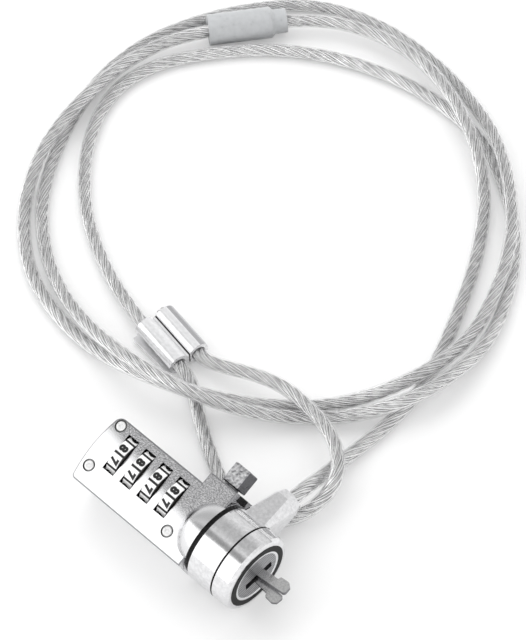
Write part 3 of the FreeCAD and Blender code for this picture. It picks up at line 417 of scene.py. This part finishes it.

# Housing, bottom plate and slide block: zinc pressure castings with a satin, mottled finish. The dome is
# polished. The dial plate is buffed and falls off a little to its near side, so the light changes on it from
# white to a mottled grey, and its near side is painted plain light as well, a painted highlight. The windows,
# the rivets' recesses and the rounded edges are painted dark: painted shade.
BARREL_FRONT = Vector((0.0299, -0.0063, 0.0140))
HEAD_ROLL = math.radians(23)
HEAD_ACROSS = (0, math.cos(HEAD_ROLL), math.sin(HEAD_ROLL))
HEAD_UP = (0, -math.sin(HEAD_ROLL), math.cos(HEAD_ROLL))
PLATE_FACE = 0.0095
PLATE_CROWN = 0.05
PLATE_TILT = 0.03
FALL_START = -0.0030
FALL_SLANT = 0.17
ROUGH_SHADE_START = -0.0030
ROUGH_SHADE_END = 0.0015
WINDOWS_REAR = -0.0627
WINDOWS_FRONT = -0.0336
WINDOWS_NEAR = -0.0052
WINDOWS_FAR = 0.0094
RECESSES_FOOT = 0.0080
RECESSES_REAR = -0.0712
RECESSES_FRONT = -0.0280
RECESSES_REACH = 0.0120
ZINC_DARK = (0.42, 0.42, 0.43)
ZINC_LIGHT = (0.76, 0.76, 0.77)


def inside(tree, *ranges):
    """1 where each of some values lies between its own two bounds, and 0 elsewhere."""
    is_inside = 1
    for value, low, high in ranges:
        is_inside = combine(tree, "MULTIPLY", is_inside, within(tree, value, low, high))
    return is_inside


zinc, tree, shader = start_material("satin_zinc_casting")
shader.inputs["Metallic"].default_value = 1
mottled, grain_bump = grain(tree, shader, size=0.00045, depth=0.00012, dark=ZINC_DARK,
                            light=ZINC_LIGHT, roughness=0.22)
place = tree.nodes.new("ShaderNodeTexCoord")
ahead = distance_along(tree, place.outputs["Object"], (1, 0, 0), BARREL_FRONT)
across = distance_along(tree, place.outputs["Object"], HEAD_ACROSS, BARREL_FRONT)
above = distance_along(tree, place.outputs["Object"], HEAD_UP, BARREL_FRONT)
upward = distance_along(tree, place.outputs["Normal"], HEAD_UP)

# Where the dome and the painted shade on the rounded edges, the rivets' recesses and the windows' walls are
is_dome = combine(tree, "GREATER_THAN", above, PLATE_FACE + 0.00006)
off_dome = combine(tree, "SUBTRACT", 1, is_dome)
is_shaded_edge = combine(tree, "MULTIPLY", within(tree, upward, 0.2, 0.97), off_dome)
in_shaded_recess = inside(tree, (above, RECESSES_FOOT, PLATE_FACE - 0.00005), (ahead, RECESSES_REAR, RECESSES_FRONT),
                   (across, -RECESSES_REACH, RECESSES_REACH))
in_shaded_window = inside(tree, (above, 0, PLATE_FACE - 0.00015), (ahead, WINDOWS_REAR, WINDOWS_FRONT),
                   (across, WINDOWS_NEAR, WINDOWS_FAR))

# The fall starts on a line that slants over the plate, rough and mottled on its far side and smooth on its
# near side, where the colour is painted plain light: a painted highlight
slanted = combine(tree, "ADD", across, combine(tree, "MULTIPLY", ahead, FALL_SLANT))
from_fall = combine(tree, "SUBTRACT", slanted, FALL_START)
is_rough_and_shaded = tree.nodes.new("ShaderNodeMapRange")
is_rough_and_shaded.interpolation_type = "SMOOTHSTEP"
is_rough_and_shaded.inputs["From Min"].default_value = ROUGH_SHADE_START
is_rough_and_shaded.inputs["From Max"].default_value = ROUGH_SHADE_END
tree.links.new(from_fall, is_rough_and_shaded.inputs["Value"])
plate_colour = blend(tree, is_rough_and_shaded.outputs["Result"], ZINC_LIGHT, mottled)
outside_colour = blend(tree, is_dome, plate_colour, ZINC_LIGHT)
# The rivets' recesses are painted dark grey: painted shade.
outside_colour = blend(tree, in_shaded_recess, outside_colour, (0.16, 0.16, 0.16))
# The rounded edges are painted darker: painted shade.
outside_colour = blend(tree, is_shaded_edge, outside_colour, (0.30, 0.30, 0.31))
# The windows' walls are painted near black: painted shade.
tree.links.new(blend(tree, in_shaded_window, outside_colour, (0.03, 0.03, 0.03)), shader.inputs["Base Color"])

grain_share = combine(tree, "MULTIPLY", is_rough_and_shaded.outputs["Result"], off_dome)
grain_strength = combine(tree, "MULTIPLY_ADD", grain_share, 0.35, 0.08)
tree.links.new(grain_strength, grain_bump.inputs["Strength"])
fallen = combine(tree, "MINIMUM", from_fall, 0)
fall = combine(tree, "MULTIPLY", combine(tree, "MULTIPLY", fallen, fallen), -0.5 / PLATE_CROWN)
plate_height = combine(tree, "SUBTRACT", fall, combine(tree, "MULTIPLY", across, PLATE_TILT))
crown = tree.nodes.new("ShaderNodeBump")
crown.inputs["Distance"].default_value = 1
tree.links.new(plate_height, crown.inputs["Height"])
tree.links.new(crown.outputs["Normal"], grain_bump.inputs["Normal"])
for node in ("housing", "bottom_plate", "slide_block"):
    cover(node, zinc)

# Code sleeves: brass bushes turned from bar, each with its gates milled through. One is keyed into every dial
# and turns with it.
DIAL_COUNT = 4
brass, tree, shader = start_material("turned_brass")
shader.inputs["Metallic"].default_value = 1
grain(tree, shader, size=0.0005, depth=0.00002, dark=(0.62, 0.47, 0.22),
      light=(0.78, 0.62, 0.32), roughness=0.28)
for number in range(1, DIAL_COUNT + 1):
    cover("code_sleeve_%d" % number, brass)

# Dials: wheels with a bright plated rim that carries the ten numbers. Below the rim they are coloured near
# black, painted shade in the windows' gaps, and a dark band over the notch between each two numbers is
# painted shade.
DIAL_AXIS = Vector((0, -0.0055207, 0.0175899))
DIAL_RIM = 0.0084
DIGIT_COUNT = 10
DIGIT_STEP = 2 * math.pi / DIGIT_COUNT
NOTCH_HALF_WIDTH = 0.00045


def from_axis(tree, place, middle):
    """How far each place lies from a line along X through a middle, and its lean from upright about it."""
    sideways = distance_along(tree, place, (0, 1, 0), middle)
    upwards = distance_along(tree, place, (0, 0, 1), middle)
    squares = combine(tree, "ADD", combine(tree, "MULTIPLY", sideways, sideways),
                      combine(tree, "MULTIPLY", upwards, upwards))
    return combine(tree, "SQRT", squares), combine(tree, "ARCTAN2", sideways, upwards)


dial_metal, tree, shader = start_material("plated_dial")
place = tree.nodes.new("ShaderNodeTexCoord")
reach, lean = from_axis(tree, place.outputs["Object"], DIAL_AXIS)
is_rim = combine(tree, "GREATER_THAN", reach, DIAL_RIM - 0.0002)
step = combine(tree, "DIVIDE", combine(tree, "ADD", lean, HEAD_ROLL), DIGIT_STEP)
off_notch = combine(tree, "ABSOLUTE", combine(tree, "SUBTRACT", step, combine(tree, "ROUND", step)))
# A dark band over each notch: painted shade.
is_shaded_notch = combine(tree, "LESS_THAN", off_notch, NOTCH_HALF_WIDTH / DIAL_RIM / DIGIT_STEP)
rim_colour = blend(tree, is_shaded_notch, (0.93, 0.93, 0.93), (0.12, 0.12, 0.12))
# Below the rim the dial is near black: painted shade.
tree.links.new(blend(tree, is_rim, (0.012, 0.012, 0.012), rim_colour), shader.inputs["Base Color"])
shader.inputs["Metallic"].default_value = 0.25
shader.inputs["Roughness"].default_value = 0.36
for number in range(1, DIAL_COUNT + 1):
    cover("dial_%d" % number, dial_metal)

# Numbers on the dials: black paint in shallow characters, with their tops towards the nose. The 8 stands on
# the far side of each window's middle, and the 7 beside it on the near side.
NUMBER_HEIGHT = 0.0034
NUMBER_WIDTH = 0.0024
NUMBER_STRIPS = 8
PAINT_TOP = DIAL_RIM + 0.00004
PAINT_FOOT = DIAL_RIM - 0.0001
DIAL_PITCH = 0.0078333
FIRST_DIAL_X = BARREL_FRONT.x - 0.0599
EIGHT_ANGLE = math.radians(16)
ink, tree, shader = start_material("black_dial_paint")
grain(tree, shader, size=0.0004, depth=0.00002, dark=(0.006, 0.006, 0.006),
      light=(0.014, 0.014, 0.014), roughness=0.5)


def number_outline(character):
    """A character's flat mesh, scaled to its box on the rim."""
    letter = bpy.data.curves.new("character", "FONT")
    letter.body = character
    letter.resolution_u = 4
    letter.offset = 0.07
    holder = bpy.data.objects.new("character", letter)
    bpy.context.collection.objects.link(holder)
    bpy.context.view_layer.update()
    flat_mesh = bpy.data.meshes.new_from_object(holder.evaluated_get(bpy.context.evaluated_depsgraph_get()))
    bpy.data.objects.remove(holder)
    corners = np.array([vertex.co[:2] for vertex in flat_mesh.vertices])
    low = corners.min(axis=0)
    high = corners.max(axis=0)
    scale = np.array([NUMBER_WIDTH, NUMBER_HEIGHT]) / (high - low)
    if character == "1":
        scale[0] = scale[1]
    for vertex, corner in zip(flat_mesh.vertices, corners):
        vertex.co = (*((corner - (low + high) / 2) * scale), 0)
    return flat_mesh


def number_on_rim(digit, middle_x):
    """One number's mesh, cut into strips so that it bends evenly, and wrapped on the rim in its own place."""
    shape = bmesh.new()
    shape.from_mesh(number_outline(str(digit)))
    bmesh.ops.remove_doubles(shape, verts=shape.verts, dist=1e-7)
    for cut in range(1 - NUMBER_STRIPS // 2, NUMBER_STRIPS // 2):
        cut_place = (cut * NUMBER_WIDTH / NUMBER_STRIPS, 0, 0)
        geometry = shape.verts[:] + shape.edges[:] + shape.faces[:]
        bmesh.ops.bisect_plane(shape, geom=geometry, plane_co=cut_place, plane_no=(1, 0, 0))
    lifted = bmesh.ops.extrude_face_region(shape, geom=shape.faces[:])
    raised = {item for item in lifted["geom"] if isinstance(item, bmesh.types.BMVert)}
    middle_angle = EIGHT_ANGLE + DIGIT_STEP * (digit - 8) - HEAD_ROLL
    for vertex in shape.verts:
        radius = PAINT_TOP if vertex in raised else PAINT_FOOT
        angle = middle_angle - vertex.co.x / DIAL_RIM
        vertex.co = (middle_x + vertex.co.y, DIAL_AXIS.y + radius * math.sin(angle),
                     DIAL_AXIS.z + radius * math.cos(angle))
    bmesh.ops.recalc_face_normals(shape, faces=shape.faces)
    mesh = bpy.data.meshes.new("number")
    shape.to_mesh(mesh)
    shape.free()
    return mesh


for number in range(1, DIAL_COUNT + 1):
    wheel_shape = bmesh.new()
    for digit in range(DIGIT_COUNT):
        wheel_shape.from_mesh(number_on_rim(digit, FIRST_DIAL_X + DIAL_PITCH * (number - 1)))
    wheel_mesh = bpy.data.meshes.new("dial_numbers_%d" % number)
    wheel_shape.to_mesh(wheel_mesh)
    wheel_shape.free()
    wheel_mesh.materials.append(ink)
    wheel = bpy.data.objects.new("dial_numbers_%d" % number, wheel_mesh)
    bpy.context.collection.objects.link(wheel)
    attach(wheel, "dial_wheel_%d" % number)

# Pins, shaft, fork, springs and the rope's end stop: bright drawn steel, pressed or slipped into place, and
# nearly all of it hidden in the head.
drawn_steel, tree, shader = start_material("drawn_steel")
shader.inputs["Metallic"].default_value = 1
grain(tree, shader, size=0.0004, depth=0.00002, dark=(0.58, 0.58, 0.58),
      light=(0.70, 0.70, 0.70), roughness=0.25)
for node in ("hook_pivot_pin", "tab_pin", "cam_fork", "spindle", "detent_spring", "return_spring",
             "cable_end_stop"):
    cover(node, drawn_steel)

# Washer, guide and keeper: moulded black nylon, laid in between the metal pieces so that the collar and the
# slide run quietly.
nylon, tree, shader = start_material("black_nylon")
grain(tree, shader, size=0.0007, depth=0.00003, dark=(0.004, 0.004, 0.004),
      light=(0.010, 0.010, 0.010), roughness=0.5)
shader.inputs["Specular IOR Level"].default_value = 0.2
for node in ("collar_washer", "slide_guide", "slide_keeper"):
    cover(node, nylon)

# Lever tab: zinc casting with a coarse, hammered looking grain for grip, and its front face painted dark:
# painted shade. Its stem goes through the shoulder's slot and is pinned to the slide block.
lever_zinc, tree, shader = start_material("coarse_zinc_casting")
shader.inputs["Metallic"].default_value = 1
mottled, _ = grain(tree, shader, size=0.0009, depth=0.00026, dark=(0.26, 0.26, 0.27),
                   light=(0.70, 0.70, 0.71), roughness=0.3)
place = tree.nodes.new("ShaderNodeTexCoord")
forward = distance_along(tree, place.outputs["Normal"], (1, 0, 0))
# The front face is painted dark: painted shade.
is_shaded_front = combine(tree, "GREATER_THAN", forward, 0.7)
tree.links.new(blend(tree, is_shaded_front, mottled, (0.13, 0.13, 0.14)), shader.inputs["Base Color"])
cover("lever_tab", lever_zinc)

# Rivets: mild steel, put through the housing and the bottom plate, their heads flattened bright by the
# setting tool.
rivet_steel, tree, shader = start_material("set_rivet_steel")
shader.inputs["Metallic"].default_value = 0.5
grain(tree, shader, size=0.0006, depth=0.00003, dark=(0.74, 0.74, 0.74),
      light=(0.90, 0.90, 0.90), roughness=0.3)
cover("rivets", rivet_steel)

# Swivel collar and front ring: the same zinc as the housing, polished and bright plated. The collar turns on
# the spigot and the ring is pressed on in front of it. The groove between them is painted near black: painted
# shade.
GROOVE_X = 0.0227
GROOVE_HALF_WIDTH = 0.00034
BARREL_RADIUS = 0.0140
plated, tree, shader = start_material("bright_plated_zinc")
shader.inputs["Metallic"].default_value = 1
mottled, _ = grain(tree, shader, size=0.0012, depth=0.00002, dark=(0.72, 0.72, 0.73),
                   light=(0.84, 0.84, 0.85), roughness=0.12)
place = tree.nodes.new("ShaderNodeTexCoord")
along = distance_along(tree, place.outputs["Object"], (1, 0, 0))
reach, _ = from_axis(tree, place.outputs["Object"], BARREL_FRONT)
# The groove between collar and ring is painted near black: painted shade.
in_shaded_groove = inside(tree, (along, GROOVE_X - GROOVE_HALF_WIDTH, GROOVE_X + GROOVE_HALF_WIDTH),
                   (reach, 0, BARREL_RADIUS + 0.0002))
tree.links.new(blend(tree, in_shaded_groove, mottled, (0.05, 0.05, 0.05)), shader.inputs["Base Color"])
for node in ("swivel_collar", "front_ring"):
    cover(node, plated)

# Nose disc and the plug behind it: steel, the disc with a bright turned rim and a face that is milled with
# fine straight tool marks along the hooks' slot.
HOOK_ROLL = math.radians(3)
DISC_FACE_RADIUS = 0.0088
turned_steel, tree, shader = start_material("turned_steel")
shader.inputs["Metallic"].default_value = 1
shader.inputs["Roughness"].default_value = 0.32
place = tree.nodes.new("ShaderNodeTexCoord")
level = tree.nodes.new("ShaderNodeMapping")
level.inputs["Rotation"].default_value = (-HOOK_ROLL, 0, 0)
tree.links.new(place.outputs["Object"], level.inputs["Vector"])
marks = tree.nodes.new("ShaderNodeTexWave")
marks.bands_direction = "Z"
marks.inputs["Scale"].default_value = 260
marks.inputs["Distortion"].default_value = 4
marks.inputs["Detail"].default_value = 3
tree.links.new(level.outputs["Vector"], marks.inputs["Vector"])
mark_shade = shaded(tree, marks.outputs["Fac"], dark=(0.10, 0.10, 0.11), light=(0.54, 0.54, 0.55))
reach, _ = from_axis(tree, place.outputs["Object"], BARREL_FRONT)
is_disc_rim = combine(tree, "GREATER_THAN", reach, DISC_FACE_RADIUS)
tree.links.new(blend(tree, is_disc_rim, mark_shade, (0.86, 0.86, 0.87)), shader.inputs["Base Color"])
bumped(tree, shader, marks.outputs["Fac"], strength=0.8, depth=0.0001)
for node in ("front_disc", "hook_carrier"):
    cover(node, turned_steel)

# Hooks: two blades blanked from steel strip and tumbled, crossed on one pin. Their flat faces are bright, and
# their edges are painted dark: painted shade.
hook_steel, tree, shader = start_material("tumbled_steel")
shader.inputs["Metallic"].default_value = 1
mottled, _ = grain(tree, shader, size=0.0007, depth=0.00002, dark=(0.62, 0.62, 0.62),
                   light=(0.72, 0.72, 0.72), roughness=0.22)
place = tree.nodes.new("ShaderNodeTexCoord")
flatness = distance_along(tree, place.outputs["Normal"], (0, -math.sin(HOOK_ROLL), math.cos(HOOK_ROLL)))
# Edges painted dark: painted shade.
is_shaded_side = combine(tree, "LESS_THAN", combine(tree, "ABSOLUTE", flatness), 0.7)
tree.links.new(blend(tree, is_shaded_side, mottled, (0.16, 0.16, 0.17)), shader.inputs["Base Color"])
for node in ("hook_upper", "hook_lower"):
    cover(node, hook_steel)

# Rubber ring: matt black, a little dusty, and pressed into the nose round the disc. It keeps the lock from
# scratching the laptop.
rubber, tree, shader = start_material("black_rubber")
grain(tree, shader, size=0.0005, depth=0.00005, dark=(0.006, 0.006, 0.006),
      light=(0.018, 0.018, 0.018), roughness=0.6)
shader.inputs["Specular IOR Level"].default_value = 0.25
cover("rubber_ring", rubber)

# Table: a wide sheet of white paper, lightened a little where the camera sees it, so that it comes out as the
# white ground of the photograph and keeps the lock's soft shadow.
TABLE_HALF_WIDTH = 3
TABLE_TOP = -0.0001
LIGHTENED = 0.25
table_shape = bmesh.new()
bmesh.ops.create_grid(table_shape, x_segments=1, y_segments=1, size=TABLE_HALF_WIDTH,
                      matrix=Matrix.Translation((0, 0, TABLE_TOP)))
floor_mesh = bpy.data.meshes.new("floor")
table_shape.to_mesh(floor_mesh)
table_shape.free()
floor = bpy.data.objects.new("floor", floor_mesh)
bpy.context.collection.objects.link(floor)
paper, tree, shader = start_material("white_paper")
shader.inputs["Base Color"].default_value = (0.9, 0.9, 0.9, 1)
shader.inputs["Roughness"].default_value = 0.9
shader.inputs["Specular IOR Level"].default_value = 0
glow = tree.nodes.new("ShaderNodeEmission")
seen_by = tree.nodes.new("ShaderNodeLightPath")
share = combine(tree, "MULTIPLY", seen_by.outputs["Is Camera Ray"], LIGHTENED)
layered(tree, share, shader.outputs["BSDF"], glow.outputs["Emission"])
floor_mesh.materials.append(paper)


# Lamps: a large softbox behind the lock and a weaker one at the photograph's left. The metal doesn't mirror
# them, because the room has the bright sheets that it mirrors.


def softbox(name, place, aim, width, power):
    """A square lamp at a place, turned to what it is aimed at."""
    light = bpy.data.lights.new(name, "AREA")
    light.shape = "RECTANGLE"
    light.size = width
    light.size_y = width
    light.energy = power
    lamp = bpy.data.objects.new(name, light)
    bpy.context.collection.objects.link(lamp)
    lamp.location = place
    lamp.rotation_euler = (Vector(aim) - Vector(place)).to_track_quat("-Z", "Y").to_euler()
    lamp.visible_glossy = False


softbox("softbox_back", (-0.55, 0.45, 0.9), (-0.05, 0.07, 0), width=0.9, power=3.6)
softbox("softbox_left", (-0.55, -0.45, 0.75), (-0.02, 0, 0), width=0.6, power=1.2)

# Room: the metal mirrors a bright sheet on the near side, a dark gap beside it, greys above and beyond, and a
# second bright sheet ahead of the nose. A stop says how bright the room is in a direction that leans so many
# degrees to the far side. What isn't mirrored is lit by an even white room.
BRIGHTEST = 2
AHEAD_BRIGHT = 1.05
room_stops = ((-90, 1.6), (-29, 1.7), (-22, 0.36), (-11, 0.40), (-3, 0.82), (13, 0.58), (34, 0.56),
              (60, 0.90), (82, 0.82), (94, 0.24), (112, 0.24), (124, 0.6))
world = bpy.data.worlds.new("studio")
bpy.context.scene.world = world
world.use_nodes = True
tree = world.node_tree
room = tree.nodes["Background"]
room.inputs["Color"].default_value = (1, 1, 1, 1)
way = tree.nodes.new("ShaderNodeTexCoord")
parts = tree.nodes.new("ShaderNodeSeparateXYZ")
tree.links.new(way.outputs["Generated"], parts.inputs["Vector"])
lean = combine(tree, "ARCTAN2", parts.outputs["Y"], parts.outputs["Z"])
sheet = tree.nodes.new("ShaderNodeValToRGB")
while len(sheet.color_ramp.elements) < len(room_stops):
    sheet.color_ramp.elements.new(0.5)
for stop, (degrees, bright) in zip(sheet.color_ramp.elements, room_stops):
    stop.position = degrees / 360 + 0.5
    stop.color = (bright / BRIGHTEST, bright / BRIGHTEST, bright / BRIGHTEST, 1)
tree.links.new(combine(tree, "MULTIPLY_ADD", lean, 0.5 / math.pi, 0.5), sheet.inputs["Fac"])
overhead = combine(tree, "MULTIPLY", sheet.outputs["Color"], BRIGHTEST)
is_ahead = rescaled(tree, parts.outputs["X"], low=0, high=1, start=0.5, end=0.7)
mirrored = tree.nodes.new("ShaderNodeMix")
tree.links.new(is_ahead, mirrored.inputs["Factor"])
tree.links.new(overhead, mirrored.inputs["A"])
mirrored.inputs["B"].default_value = AHEAD_BRIGHT
ray = tree.nodes.new("ShaderNodeLightPath")
brightness = tree.nodes.new("ShaderNodeMix")
tree.links.new(ray.outputs["Is Glossy Ray"], brightness.inputs["Factor"])
brightness.inputs["A"].default_value = 1
tree.links.new(mirrored.outputs["Result"], brightness.inputs["B"])
tree.links.new(brightness.outputs["Result"], room.inputs["Strength"])
bpy.context.scene.view_settings.view_transform = "Standard"
